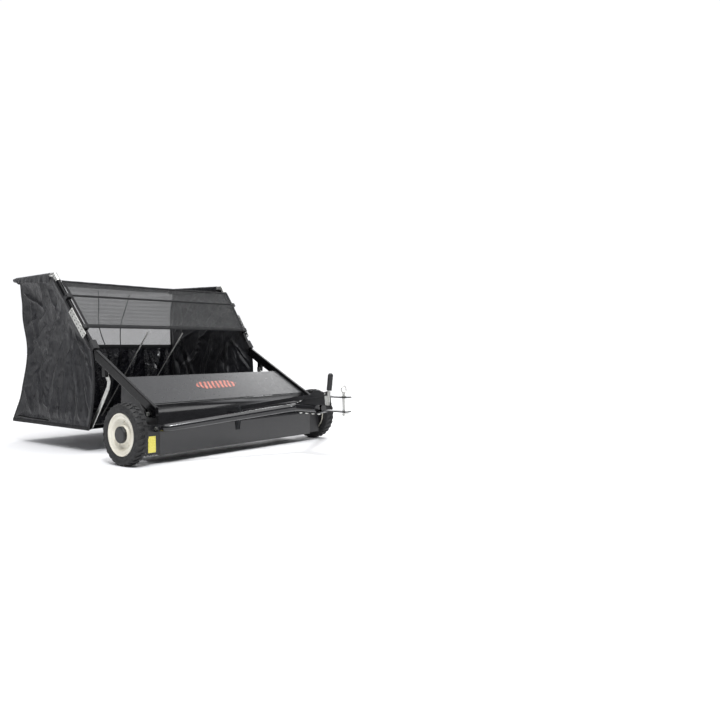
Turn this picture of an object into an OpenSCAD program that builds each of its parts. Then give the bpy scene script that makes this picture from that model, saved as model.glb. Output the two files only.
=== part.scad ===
// Tow-behind lawn sweeper: a rotary brush driven by its two wheels, with a fabric hopper behind.
// Frame: X across, -Y towards the hitch, +Y towards the hopper, +Z up, floor at Z = 0.

/* [Wheels] */
// Tyre outer diameter
wheel_d = 305; // [295:1:315]
// Tyre width
tyre_w = 62; // [58:1:66]
// Width over the outer tyre faces
track_w = 1427; // [1415:1:1440]
// Diameter of the rim, where the tyre begins
rim_d = 210; // [206:1:216]

/* [Drive] */
// Tooth module of the ring gears and pinions
gear_module = 3; // [3:1:3]
// Teeth of the ring gear inside each wheel
ring_teeth = 56; // [56:1:56]
// Teeth of each pinion
pinion_teeth = 10; // [10:1:10]

/* [Brush] */
// Diameter over the bristle tips
brush_d = 276; // [250:2:280]
// Rows of bristles round the shaft
brush_rows = 6; // [4:1:6]

/* [Housing] */
// Width of the sheet-metal housing
housing_w = 1099; // [1080:1:1105]
// Sheet thickness
sheet = 2; // [1.5:0.5:2]

/* [Hopper] */
// Width over the hopper's side tubes
hopper_w = 1148; // [1144:1:1152]
// Outer diameter of the frame tubes
tube_d = 25; // [22:1:25]
// Height of the rear top tube
hopper_top_z = 980; // [950:5:1000]
// How far the hopper reaches behind the axle
hopper_reach = 1304; // [1280:1:1320]

/* [Hitch] */
// Distance from the axle to the hitch pin
hitch_reach = 805; // [800:1:815]
// Diameter of the hitch pin
hitch_pin_d = 12.7; // [12:0.1:13]
// Outer diameter of the tongue tubes
tongue_d = 38; // [34:1:38]

/* [Hidden] */
$fn = 48;

// Lengthways places, measured from the axle before the whole machine is moved to its own origin
axle_z = wheel_d / 2;
front_end = hitch_reach + 28;
rear_end = hopper_reach + 1;
y_shift = (front_end - rear_end) / 2;

// Wheels
wheel_out = track_w / 2;
wheel_in = wheel_out - tyre_w;
axle_r = 10;
run_gap = 0.05;
bush_r = 14;
web_x = wheel_out - 12;

// Drive
ring_pitch_r = gear_module * ring_teeth / 2;
pinion_pitch_r = gear_module * pinion_teeth / 2;
brush_y = ring_pitch_r - pinion_pitch_r;
gear_x = wheel_in + 5;
gear_w = 20;
shaft_r = 9.5;
journal_r = 8;
backlash = 0.45;

// Housing outline, in (y, z)
panel_y = -92;
panel_z0 = 43;
panel_z1 = 169;
crown = [-37, 289];
cover_rear = [197, 417];
cover_len = norm(cover_rear - crown);
cover_tilt = atan2(cover_rear[1] - crown[1], cover_rear[0] - crown[0]);
plate_t = 3;
plate_x = housing_w / 2;

// Hopper frame
tube_r = tube_d / 2;
tube_wall = 1.5;
tube_x = hopper_w / 2 - tube_r;
arm_w = 20;
arm_h = 50;
arm_x = hopper_w / 2 - arm_w / 2;
pivot = [-35, 245];
pivot_r = 6;
arm_bend = [432, 548];
top_bend = [760, hopper_top_z - 8];
splay = 45;
rear_top = [hopper_reach, hopper_top_z];
floor_front = [499, 141];
floor_rear = [hopper_reach - 11, 156];
mesh_z = 566;
cloth = 3;
wall_x = hopper_w / 2 + 0.5;
ws_low = 0.29;
ws_high = 0.69;
ws_top = 0.88;
plate_at = 0.37;
ws_out = 19;
ws_r = 4;
stay_x = [-180, 68];
stay_top = [510, 656];
stay_foot = [985, floor_front[1] + 3];

// Tongue
tongue_r = tongue_d / 2;
tongue_pivot = [-118, 180];
tongue_elbow = [-576, -165, 184];
tongue_bend = [24, -500, 266];
tongue_front = -655;
lever_pivot = [-728, 300];
lever_x = -30;
strap_x = -36;
strap_pin = [-719, 345];
housing_pin = [-112, 240];

module place() translate([0, y_shift, 0]) children();
module both() { children(); mirror([1, 0, 0]) children(); }
// The left side, looking forwards, is +X; a piece is drawn on one side and mirrored to the other
module other_side() mirror([1, 0, 0]) children();

// Rod from a to b
module rod(a, b, r) {
    d = b - a;
    len = norm(d);
    translate(a) rotate([0, acos(d[2] / len), atan2(d[1], d[0])]) cylinder(r = r, h = len);
}
module pipe(a, b, r, wall) {
    e = (b - a) / norm(b - a);
    difference() {
        rod(a, b, r);
        rod(a - e, b + e, r - wall);
    }
}
// Tube from a to b with a solid knuckle at q, hollow from `start` past a
module bent_pipe(a, q, b, r, wall, start = -1) {
    d = (q - a) / norm(q - a);
    e = (b - q) / norm(b - q);
    difference() {
        union() {
            rod(a, q, r);
            translate(q) sphere(r = r + 0.6);
            rod(q, b, r);
        }
        rod(a + d * start, q - d * 12, r - wall);
        rod(q + e * 12, b + e, r - wall);
    }
}
// Cylinder along X, from x0 to x1, centred on p = [y, z]
module disc(p, r, x0, x1) translate([x0, p[0], p[1]]) rotate([0, 90, 0]) cylinder(r = r, h = x1 - x0);
// Outline in (y, z), as a plate from x0 to x1
module plate_yz(x0, x1) translate([x0, 0, 0]) rotate([90, 0, 90]) linear_extrude(x1 - x0) children();
// Profile in (x, radius), turned about the wheel's axis at p = [y, z]
module turned(p) translate([0, p[0], p[1]]) rotate([0, 90, 0]) rotate_extrude($fn = 96) children();
module round_rect(x0, y0, x1, y1, r) {
    translate([x0, y0 + r]) square([x1 - x0, y1 - y0 - 2 * r]);
    translate([x0 + r, y0]) square([x1 - x0 - 2 * r, y1 - y0]);
    for (x = [x0 + r, x1 - r], y = [y0 + r, y1 - r]) translate([x, y]) circle(r = r);
}
// Hexagon-headed bolt along +X from [x, y, z]
module hex_bolt_x(p, r, len, head_r = 9, head_h = 6) {
    translate(p) rotate([0, 90, 0]) cylinder(r = r, h = len);
    translate(p - [head_h, 0, 0]) rotate([0, 90, 0]) cylinder(r = head_r, h = head_h, $fn = 6);
}

// Involute gears
function inv(t) = t - atan(t) * PI / 180;
function involute_side(rb, ra, r0, half, steps, side) = [
    for (k = [0 : steps])
        let (r = r0 + (ra - r0) * k / steps, t = sqrt(max((r / rb) ^ 2 - 1, 0)))
        [r, side * (half - inv(t) * 180 / PI)]
];
// One tooth every 360 / n degrees: outline points with radius from r_low to r_high
module toothed(n, r_low, r_high, thick_shift) {
    rp = gear_module * n / 2;
    rb = rp * cos(20);
    tp = sqrt((rp / rb) ^ 2 - 1);
    half = 90 / n + (thick_shift / 2 / rp + inv(tp)) * 180 / PI;
    start = max(r_low, rb);
    a = involute_side(rb, r_high, start, half, 6, -1);
    b = involute_side(rb, r_high, start, half, 6, 1);
    root = r_low < rb ? [[r_low, -half]] : [];
    root_end = r_low < rb ? [[r_low, half]] : [];
    polygon([
        for (i = [0 : n - 1])
            let (c = 360 * i / n)
            for (q = concat(root, a, [for (k = [6 : -1 : 0]) b[k]], root_end))
                [q[0] * cos(c + q[1]), q[0] * sin(c + q[1])]
    ]);
}

// ---- housing ----
module shell_arc() {
    a = [panel_y + 6, panel_z1 + 6];
    chord = norm(crown - a);
    r = 175;
    mid = (crown + a) / 2;
    dir = (crown - a) / chord;
    c = mid + [dir[1], -dir[0]] * sqrt(r * r - chord * chord / 4);
    a0 = atan2(a[1] - c[1], a[0] - c[0]);
    a1 = atan2(crown[1] - c[1], crown[0] - c[0]);
    translate([-plate_x, c[0], c[1]]) rotate([90, 0, 90]) rotate([0, 0, a1])
        rotate_extrude(angle = a0 - a1, $fn = 96) translate([r - sheet, 0]) square([sheet, housing_w]);
}
module housing_shell() place() color("#26282b") {
    plate_yz(-plate_x, plate_x) polygon([
        [panel_y, panel_z0], [panel_y + 16, panel_z0], [panel_y + 16, panel_z0 + sheet],
        [panel_y + sheet, panel_z0 + sheet], [panel_y + sheet, panel_z1 - 1], [panel_y + 6 + sheet, panel_z1 + 5],
        [panel_y + 6 + sheet, panel_z1 + 7], [panel_y + 6, panel_z1 + 7], [panel_y, panel_z1]
    ]);
    shell_arc();
    disc(crown + [1, -4], 5, -plate_x, plate_x);
}
module top_cover() place() color("#3a3c3e") translate([0, crown[0], crown[1]]) rotate([cover_tilt, 0, 0]) {
    translate([-plate_x, 5.5, 0]) cube([housing_w, cover_len - 5.5, sheet]);
    translate([-plate_x, cover_len - sheet, -16]) cube([housing_w, sheet, 17]);
    for (x = [-plate_x, plate_x - sheet]) translate([x, 8, -14]) cube([sheet, cover_len - 10, 15]);
}
module cover_decal() place() color("#b8402c") translate([0, crown[0], crown[1]]) rotate([cover_tilt, 0, 0])
    translate([-30, 150, sheet]) linear_extrude(0.5)
        polygon([[-150, -8], [-112, 32], [104, 38], [152, 4], [108, -34], [-96, -38]]);

module end_plate() color("#1e1f21") difference() {
    union() {
        plate_yz(-plate_x - plate_t, -plate_x) polygon([
            [panel_y + 3, panel_z0 + 2], [panel_y + 3, panel_z1 + 2], [-72, 235], [crown[0] - 4, crown[1] - 2],
            [cover_rear[0], cover_rear[1] - 2], [222, 392], [236, 170], [200, 60], [180, panel_z0 + 2]
        ]);
        translate([-632, panel_y, 50]) cube([632 - plate_x, sheet, 145]);
        plate_yz(-632, -plate_x) polygon([[panel_y, 50], [panel_y + 30, 50], [panel_y + 30, 52], [panel_y, 52]]);
    }
    disc([0, axle_z], axle_r, -plate_x - 10, -plate_x + 10);
    disc([brush_y, axle_z], 19, -plate_x - 10, -plate_x + 10);
    disc(pivot, pivot_r, -plate_x - 10, -plate_x + 10);
}
module side_reflector() place() color("#e8c81e")
    translate([-620, panel_y - 1.5, 62]) cube([44, 1.5, 80]);

module axle() color("#b9bcc0") {
    disc([0, axle_z], axle_r, -wheel_out + 2, -plate_x + 12);
    disc([0, axle_z], 17, -wheel_in - 5.5, -plate_x - plate_t);
    disc([0, axle_z], 17, -web_x - 3.5, -web_x - 0.4);
}
module dust_cover() color("#2b2c2e") difference() {
    union() {
        disc([0, axle_z], 92, -wheel_in + 0.5, -wheel_in + 2.5);
        for (a = [60, 180, 300])
            disc([46 * cos(a), axle_z + 46 * sin(a)], 6, -wheel_in + 2.5, -plate_x - plate_t);
    }
    disc([0, axle_z], 17, -wheel_in - 1, -wheel_in + 4);
    disc([brush_y, axle_z], 12, -wheel_in - 1, -wheel_in + 4);
}
module bearing() color("#8d9196") difference() {
    union() {
        disc([brush_y, axle_z], 19, -plate_x - plate_t - 6, -plate_x);
        disc([brush_y, axle_z], 26, -plate_x - plate_t - 6, -plate_x - plate_t);
    }
    disc([brush_y, axle_z], journal_r + run_gap, -plate_x - 20, -plate_x + 10);
}

// ---- wheels, drawn on the +X side ----
module tyre() color("#161617") turned([0, axle_z]) {
    translate([rim_d / 2, 0]) round_rect(0, wheel_in, wheel_d / 2 - rim_d / 2, wheel_out, 15);
    translate([rim_d / 2, wheel_in + 6]) square([14, tyre_w - 12]);
}
module rim() color("#e6e2d2") turned([0, axle_z]) {
    translate([98, wheel_in + 4]) square([rim_d / 2 - 98, tyre_w - 8]);
    translate([26, web_x - 3]) square([73, 3]);
    translate([bush_r, wheel_in + 6]) square([13, web_x - wheel_in - 6]);
}
module ring_gear() color("#2e2f31") difference() {
    disc([0, axle_z], 98, gear_x, gear_x + gear_w);
    translate([gear_x - 1, 0, axle_z]) rotate([90, 0, 90]) linear_extrude(gear_w + 2)
        toothed(ring_teeth, ring_pitch_r - 1.8, ring_pitch_r + 3.45, backlash);
}
module hub_cap() color("#1b1b1c") turned([0, axle_z]) difference() {
    union() {
        translate([0, web_x]) square([34, 16]);
        translate([34, web_x]) square([7, 9]);
        translate([34, web_x + 9]) circle(r = 7);
    }
    translate([-1, web_x - 1]) square([21, 14]);
}
module bushing() color("#d9d9d4") turned([0, axle_z])
    translate([axle_r + run_gap, wheel_in + 6]) square([bush_r - axle_r - run_gap, web_x - wheel_in - 6]);

// ---- brush and pinions ----
module pinion() color("#55585c") translate([0, brush_y, axle_z]) difference() {
    translate([gear_x, 0, 0]) rotate([90, 0, 90]) linear_extrude(gear_w)
        toothed(pinion_teeth, pinion_pitch_r - 3.6, pinion_pitch_r + 2.7, -backlash);
    disc([0, 0], journal_r + run_gap, gear_x - 1, gear_x + gear_w + 1);
}
module brush_shaft() place() color("#a9adb1") {
    disc([brush_y, axle_z], shaft_r, -plate_x + 1, plate_x - 1);
    difference() {
        disc([brush_y, axle_z], journal_r, -gear_x - gear_w - 4, gear_x + gear_w + 4);
        both() disc([brush_y, axle_z], 1.5, gear_x + gear_w, gear_x + gear_w + 6);
    }
}
module ratchet_pins() place() color("#8a8d90") both()
    disc([brush_y, axle_z], 1.45, gear_x + gear_w + 0.2, gear_x + gear_w + 9);
module brush_hubs() place() color("#3c3f42") for (x = [-440, -150, 150, 440]) difference() {
    disc([brush_y, axle_z], 34, x - 8, x + 8);
    disc([brush_y, axle_z], shaft_r, x - 9, x + 9);
}
module round_brush() translate([0, brush_y, axle_z]) for (i = [0 : brush_rows - 1])
    rotate([360 * i / brush_rows, 0, 0]) children();
module brush_channels() place() color("#2f3235") round_brush() difference() {
    translate([-540, -9, 34]) cube([1080, 18, 16]);
    translate([-541, -7, 36]) cube([1082, 14, 15]);
}
module bristles() place() color("#2a2a2a") round_brush()
    translate([-537, -5, 36.1]) cube([1074, 10, brush_d / 2 - 37.1]);

// ---- hopper frame ----
module arm() color("#141415") difference() {
    union() {
        plate_yz(-arm_x - arm_w / 2, -arm_x + arm_w / 2) polygon(arm_outline());
        translate([-arm_x, 0, 0]) disc(pivot, 20, -arm_w / 2, arm_w / 2);
    }
    disc(pivot, pivot_r + run_gap, -arm_x - arm_w, -arm_x + arm_w);
}
arm_up = [-sin(cover_tilt), cos(cover_tilt)];
arm_back = arm_bend + [6, 19];
arm_front_y = -88;
function arm_top(y) = arm_back[1] + (y - arm_back[0]) * tan(cover_tilt);
function arm_low(y) = arm_top(y) - arm_h / cos(cover_tilt);
function arm_outline() = [
    [arm_front_y, arm_top(arm_front_y)], arm_back, arm_back - arm_up * arm_h,
    [366, arm_low(366)], [366, 415], [334, 415], [334, arm_low(334)], [40, arm_low(40)],
    [-10, 226], [-60, 226], [-92, 240]
];
// Along the inclined side tube, 0 is the arm's end and 1 the top bend; y runs up the tube, z out of its front
function on_side(s) = arm_bend + (top_bend - arm_bend) * s;
side_len = norm(top_bend - arm_bend);
side_tilt = atan2(top_bend[1] - arm_bend[1], top_bend[0] - arm_bend[0]);
module at_side(s) translate([0, on_side(s)[0], on_side(s)[1]]) rotate([side_tilt, 0, 0]) children();
// The right side tube leans out by splay at its top: its own axis becomes the Y axis, with 0 at the arm's end
lean = atan2(splay, side_len);
tube_len = norm([splay, side_len]);
module on_tube(s) at_side(0) translate([-tube_x, 0, 0]) rotate([0, 0, lean]) translate([0, s * tube_len, 0]) children();
module side_tube() color("#141415") on_tube(0) difference() {
    translate([0, 42, 0]) rotate([-90, 0, 0]) cylinder(r = tube_r, h = tube_len - 62);
    translate([0, 41, 0]) rotate([-90, 0, 0]) cylinder(r = tube_r - tube_wall, h = tube_len - 60);
}
module joint_plate() color("#d4d5d2") on_tube(plate_at) translate([tube_x - wall_x - 8.5, 0, 0]) difference() {
    translate([0, -90, -22]) cube([3, 180, 40]);
    for (k = [-3 : 3], z = [-11, 7]) disc([26 * k, z], 4.5, -1, 4);
}
// Windscreen clamps, and a socket that joins each arm to its side tube
module tube_clamps() place() color("#101011") both() {
    for (s = [ws_low, ws_high]) difference() {
        on_tube(s) translate([-tube_r - 4, -12, -tube_r - 4]) cube([2 * tube_r + 7, 24, 2 * tube_r + 18]);
        on_tube(s) translate([0, -13, 0]) rotate([-90, 0, 0]) cylinder(r = tube_r, h = 26);
        at_side(s) disc([0, ws_out], ws_r, -hopper_w, 0);
    }
    difference() {
        at_side(0.07) translate([-tube_x - tube_r - 6, -24, -tube_r - 4]) cube([2 * tube_r + 9, 56, 2 * tube_r + 8]);
        on_tube(0) translate([0, 42, 0]) rotate([-90, 0, 0]) cylinder(r = tube_r, h = 100);
        plate_yz(-arm_x - arm_w / 2, -arm_x + arm_w / 2) polygon(arm_outline());
    }
}
module top_elbows() place() color("#c9cbc9") both() {
    t = 46 / tube_len;
    low = on_side(1 - t);
    bent_pipe([-tube_x - splay * (1 - t), low[0], low[1]], top_corner, top_corner + 48 * top_back, tube_r + 2, 2);
}
// Right top corner, and the way back along the top tube, which comes in again towards the rear
top_corner = [-tube_x - splay, top_bend[0], top_bend[1]];
top_end = [-tube_x + 6, rear_top[0], top_bend[1]];
top_back = (top_end - top_corner) / norm(top_end - top_corner);
module top_tube() color("#141415") pipe(top_corner + 18 * top_back, top_end, tube_r, tube_wall);
module rear_top_tube() place() color("#141415")
    pipe([-tube_x + tube_r + 4, rear_top[0] - 26, rear_top[1] - 8],
        [tube_x - tube_r - 4, rear_top[0] - 26, rear_top[1] - 8], tube_r - 1, tube_wall);
module bottom_frame() place() color("#141415") {
    r = 11;
    front = floor_front + [2 * r, 0.4];
    rear = floor_rear - [2 * r, 0.4];
    both() pipe([-tube_x, floor_front[0] + r, floor_front[1]], [-tube_x, floor_rear[0], floor_rear[1]], r, tube_wall);
    for (p = [front, rear]) pipe([-tube_x + r, p[0], p[1]], [tube_x - r, p[0], p[1]], r, tube_wall);
}
module support_straps() place() color("#c6c8c6") both() plate_yz(-arm_x + arm_w / 2, -arm_x + arm_w / 2 + 4)
    polygon([
        [340, 440], [364, 440], [364, 418], [348, 392], [352, 366], [396, 302], [508, 158], [508, 134],
        [492, 134], [376, 288], [330, 354], [320, 392], [338, 424]
    ]);
// Two thin stays run from the front cross rod down to the hopper floor
module support_rods() place() color("#c2c4c2") for (x = stay_x)
    rod([x, stay_top[0], stay_top[1]], [x, stay_foot[0], stay_foot[1]], 4);
module windscreen_rods() place() color("#1a1a1b") for (s = [ws_low, ws_high])
    at_side(s) disc([0, ws_out], ws_r, -tube_x - splay * s - tube_r - 5, tube_x + splay * s + tube_r + 5);
module windscreen() place() color("#2d2e2f", 0.6) at_side(ws_low) translate([0, 0, ws_out + ws_r + 0.3]) {
    low = tube_x - 18.5 + splay * ws_low;
    high = low + splay * (ws_top - ws_low);
    len = (ws_top - ws_low) * side_len;
    linear_extrude(1.5) polygon([[-low, -6], [low, -6], [high, len], [-high, len]]);
}
module rear_mesh() place() color("#5a5c5e", 0.6)
    translate([-541, rear_top[0] - 1.5, mesh_z + 1]) cube([1082, 1.5, hopper_top_z - mesh_z + 2]);
module bag() place() color("#121214") {
    side = [floor_front - [12, 15], floor_rear + [12, -15], rear_top + [-8, 8], arm_bend + [30, 8]];
    back = side[1];
    // Above the line from the arm's end to the rear top corner the wall leans out with the tubes
    fold = atan2(side[2][1] - side[3][1], side[2][0] - side[3][0]);
    rise = splay / ((top_bend[1] + 16 - side[3][1]) * cos(fold) - (top_bend[0] + 52 - side[3][0]) * sin(fold));
    both() plate_yz(-wall_x - cloth, -wall_x) polygon(side);
    hinge = side[3] + [0, -1.5];
    both() translate([-wall_x, hinge[0], hinge[1]]) rotate([fold, 0, 0]) rotate([0, -atan(rise), 0])
        rotate([-fold, 0, 0]) translate([0, -hinge[0], -hinge[1]]) plate_yz(-cloth, 0) polygon([
            side[3] + [5, -1.5], side[2] + [-4, -5], side[2] + [-2, 0], top_bend + [52, 16], top_bend + [52, -17],
            top_bend + [10, -17], side[3] + [1, 1.4]
        ]);
    plate_yz(-wall_x - 1, wall_x + 1) polygon([
        side[0], back, [back[0], mesh_z], [back[0] - cloth, mesh_z], back + [-cloth, cloth], side[0] + [0, cloth]
    ]);
    both() translate([-wall_x - 1, back[0] - cloth, mesh_z - 1]) cube([27, cloth, top_bend[1] - tube_r - 1 - mesh_z]);
}

// ---- tongue and hitch ----
module tongue_tube() color("#232426") difference() {
    p = tongue_elbow;
    q = [-tongue_bend[0], tongue_bend[1], tongue_bend[2]];
    union() {
        disc(tongue_pivot, 14, p[0] - 9, p[0] + 9);
        translate([p[0] - 9, p[1] - 6, tongue_pivot[1] - 12]) cube([18, tongue_pivot[0] - p[1] + 6, 26]);
        bent_pipe(p, q, [q[0], tongue_front, q[2]], tongue_r, 2, 13);
    }
    disc(tongue_pivot, 5 + run_gap, p[0] - 12, p[0] + 12);
}
// Clevis brackets for the tongue, and the one that holds the height strap's pin
module tongue_brackets() place() color("#1e1f21") {
    both() difference() {
        translate([tongue_elbow[0] - 15, panel_y - 44, tongue_pivot[1] - 17]) cube([30, 44, 32]);
        translate([tongue_elbow[0] - 11, panel_y - 45, tongue_pivot[1] - 18]) cube([22, 42, 34]);
        disc(tongue_pivot, 5, tongue_elbow[0] - 20, tongue_elbow[0] + 20);
    }
    translate([strap_x - 16, panel_y - 3, 122]) cube([28, 3, 46]);
    for (x = [strap_x - 9, strap_x + 2]) plate_yz(x, x + 3) polygon([
        [panel_y - 2, 124], [panel_y - 2, 168], housing_pin + [10, 10], housing_pin + [-9, 10],
        housing_pin + [-9, -8], [panel_y - 10, 124]
    ]);
    disc(housing_pin, 4, strap_x - 12, strap_x + 8);
}
module tongue_bolts() place() color("#c9cbc9") {
    both() {
        hex_bolt_x([tongue_elbow[0] - 15, tongue_pivot[0], tongue_pivot[1]], 5, 34);
        hex_bolt_x([-arm_x - arm_w / 2 - 1, pivot[0], pivot[1]], pivot_r, arm_w + 12, 11, 7);
    }
}
strap_half = 25;
strap_back = -509;
bolt_y = [-521, -562, -604, -643];
module bolt_holes() for (y = bolt_y) translate([0, y, tongue_bend[2] - 60]) cylinder(r = 3.6, h = 120);
module hitch_upper_strap() place() color("#1c1c1e") difference() {
    z = tongue_bend[2] + tongue_r;
    plate_yz(-strap_half, strap_half) polygon([
        [strap_back, z], [-650, z], [-700, 326], [-front_end, 326], [-front_end, 332], [-702, 332],
        [-652, z + 6], [strap_back, z + 6]
    ]);
    bolt_holes();
    translate([0, -hitch_reach, 300]) cylinder(r = hitch_pin_d / 2 + 0.1, h = 50);
}
module hitch_lower_strap() place() color("#1c1c1e") difference() {
    z = tongue_bend[2] - tongue_r;
    plate_yz(-strap_half, strap_half) polygon([
        [strap_back, z], [strap_back, z - 6], [-660, z - 6], [-700, 255], [-front_end, 255],
        [-front_end, 261], [-698, 261], [-658, z]
    ]);
    bolt_holes();
    translate([0, -hitch_reach, 240]) cylinder(r = hitch_pin_d / 2 + 0.1, h = 50);
}
module hitch_bolts() place() color("#d0d2d0") {
    for (y = bolt_y) translate([0, y, tongue_bend[2]]) {
        translate([0, 0, tongue_r + 6]) cylinder(r = 8, h = 6, $fn = 6);
        translate([0, 0, -tongue_r - 13]) cylinder(r = 8, h = 7, $fn = 6);
        translate([0, 0, -tongue_r - 14]) cylinder(r = 3.5, h = 2 * tongue_r + 21);
    }
    hex_bolt_x([lever_x - 6, lever_pivot[0], lever_pivot[1]], 5, 18, 10, 6);
}
module quadrant() place() color("#151516") difference() {
    plate_yz(-29, -strap_half) polygon([
        [strap_back, 285], [-562, 304], [-592, 318], [-640, 358], [-676, 357], [-700, 342], [-745, 328], [-745, 285],
        [-700, 285]
    ]);
    disc(lever_pivot, 5, -40, -10);
}
module height_lever() place() color("#c4c6c4") difference() {
    union() {
        disc(strap_pin, 4, strap_x - 7, lever_x - 4);
        plate_yz(lever_x - 5, lever_x) polygon(lever_outline());
        disc(lever_pivot, 13, lever_x - 5, lever_x);
    }
    disc(lever_pivot, 5 + run_gap, -50, 10);
}
module lever_grip() place() color("#0f0f10")
    difference() {
        translate([lever_x - 2.5, -739, 362]) rotate([6.7, 0, 0]) {
            cylinder(r = 13, h = 72);
            translate([0, 0, 72]) sphere(r = 13);
        }
        plate_yz(lever_x - 5, lever_x) polygon(lever_outline());
    }
function lever_outline() = [
    [-740, 288], [-716, 288], [-708, 352], [-728, 358], [-741, 434], [-751, 433], [-746, 365], [-744, 320]
];
module adjuster_strap() place() color("#1c1c1e") difference() {
    plate_yz(strap_x - 4, strap_x) polygon([
        strap_pin + [-9, -10], strap_pin + [-9, 10], housing_pin + [12, 10], housing_pin + [12, -10]
    ]);
    disc(strap_pin, 4 + run_gap, -60, 0);
    disc(housing_pin, 6, -60, 0);
}
module hitch_pin() place() color("#cfd1ce") translate([0, -hitch_reach, 0]) {
    difference() {
        translate([0, 0, 236]) cylinder(r = hitch_pin_d / 2, h = 118);
        disc([0, 246], 1.5 + run_gap, -20, 20);
    }
    translate([0, 0, 332.2]) cylinder(r = 11, h = 4);
    translate([0, 0, 367]) rotate([90, 0, -8]) rotate_extrude() translate([16, 0]) circle(r = 3, $fn = 24);
}
module hair_pin() place() color("#cfd1ce") translate([0, -hitch_reach, 246]) {
    disc([0, 0], 1.5, -12, 44);
    disc([9, 0], 1.5, 6, 44);
    translate([44, 4.5, 0]) rotate([0, 0, -90]) rotate_extrude(angle = 180) translate([4.5, 0]) circle(r = 1.5, $fn = 24);
}

// ---- the assembly ----
housing_shell();
top_cover();
cover_decal();
place() other_side() end_plate();  // left_end_plate
place() end_plate();  // right_end_plate
side_reflector();
place() other_side() axle();  // left_axle
place() axle();  // right_axle
place() other_side() dust_cover();  // left_dust_cover
place() dust_cover();  // right_dust_cover
place() other_side() bearing();  // left_bearing
place() bearing();  // right_bearing
place() tyre();  // left_tyre
place() other_side() tyre();  // right_tyre
place() rim();  // left_rim
place() other_side() rim();  // right_rim
place() ring_gear();  // left_ring_gear
place() other_side() ring_gear();  // right_ring_gear
place() hub_cap();  // left_hub_cap
place() other_side() hub_cap();  // right_hub_cap
place() bushing();  // left_bushing
place() other_side() bushing();  // right_bushing
place() pinion();  // left_pinion
place() other_side() pinion();  // right_pinion
brush_shaft();
ratchet_pins();
brush_hubs();
brush_channels();
bristles();
place() other_side() arm();  // left_arm
place() arm();  // right_arm
place() other_side() side_tube();  // left_side_tube
place() side_tube();  // right_side_tube
place() other_side() joint_plate();  // left_joint_plate
place() joint_plate();  // right_joint_plate
tube_clamps();
top_elbows();
place() other_side() top_tube();  // left_top_tube
place() top_tube();  // right_top_tube
rear_top_tube();
bottom_frame();
support_straps();
support_rods();
windscreen_rods();
windscreen();
rear_mesh();
bag();
place() other_side() tongue_tube();  // left_tongue_tube
place() tongue_tube();  // right_tongue_tube
tongue_brackets();
tongue_bolts();
hitch_upper_strap();
hitch_lower_strap();
hitch_bolts();
quadrant();
height_lever();
lever_grip();
adjuster_strap();
hitch_pin();
hair_pin();
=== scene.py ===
import math
import random

import bpy
import numpy as np
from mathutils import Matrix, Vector, noise


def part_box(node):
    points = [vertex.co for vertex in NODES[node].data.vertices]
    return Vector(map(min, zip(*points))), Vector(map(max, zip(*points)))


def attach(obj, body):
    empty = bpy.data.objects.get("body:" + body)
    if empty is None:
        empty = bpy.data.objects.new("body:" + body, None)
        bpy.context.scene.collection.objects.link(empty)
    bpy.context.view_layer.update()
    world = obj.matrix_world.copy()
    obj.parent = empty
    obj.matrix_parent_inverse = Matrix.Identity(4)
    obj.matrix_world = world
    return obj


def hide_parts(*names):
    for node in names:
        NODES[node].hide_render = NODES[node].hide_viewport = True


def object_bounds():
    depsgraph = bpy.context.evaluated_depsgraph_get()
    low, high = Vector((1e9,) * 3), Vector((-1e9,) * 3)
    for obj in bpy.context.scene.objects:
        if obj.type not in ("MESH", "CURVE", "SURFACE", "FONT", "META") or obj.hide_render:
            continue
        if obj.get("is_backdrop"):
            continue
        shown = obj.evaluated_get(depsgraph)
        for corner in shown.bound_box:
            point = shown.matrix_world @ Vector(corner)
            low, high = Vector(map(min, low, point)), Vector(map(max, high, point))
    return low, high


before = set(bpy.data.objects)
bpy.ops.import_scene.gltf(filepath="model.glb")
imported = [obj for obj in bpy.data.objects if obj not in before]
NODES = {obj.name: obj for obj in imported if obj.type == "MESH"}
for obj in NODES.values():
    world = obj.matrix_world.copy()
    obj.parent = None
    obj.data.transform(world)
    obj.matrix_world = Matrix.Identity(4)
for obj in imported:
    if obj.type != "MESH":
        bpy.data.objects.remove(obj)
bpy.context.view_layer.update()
RNG = random.Random(11)


def middle(node, axis):
    lo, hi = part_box(node)
    return (lo[axis] + hi[axis]) / 2


AXLE_Y = middle("left_axle", 1)
AXLE_Z = middle("left_axle", 2)
BRUSH_Y = middle("brush_hubs", 1)


def at(x, y, z):
    """A point given in millimetres, with y measured back from the axle and z up from the floor."""
    return Vector((x / 1000, AXLE_Y + y / 1000, z / 1000))


# ---------------------------------------------------------------- materials


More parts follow.
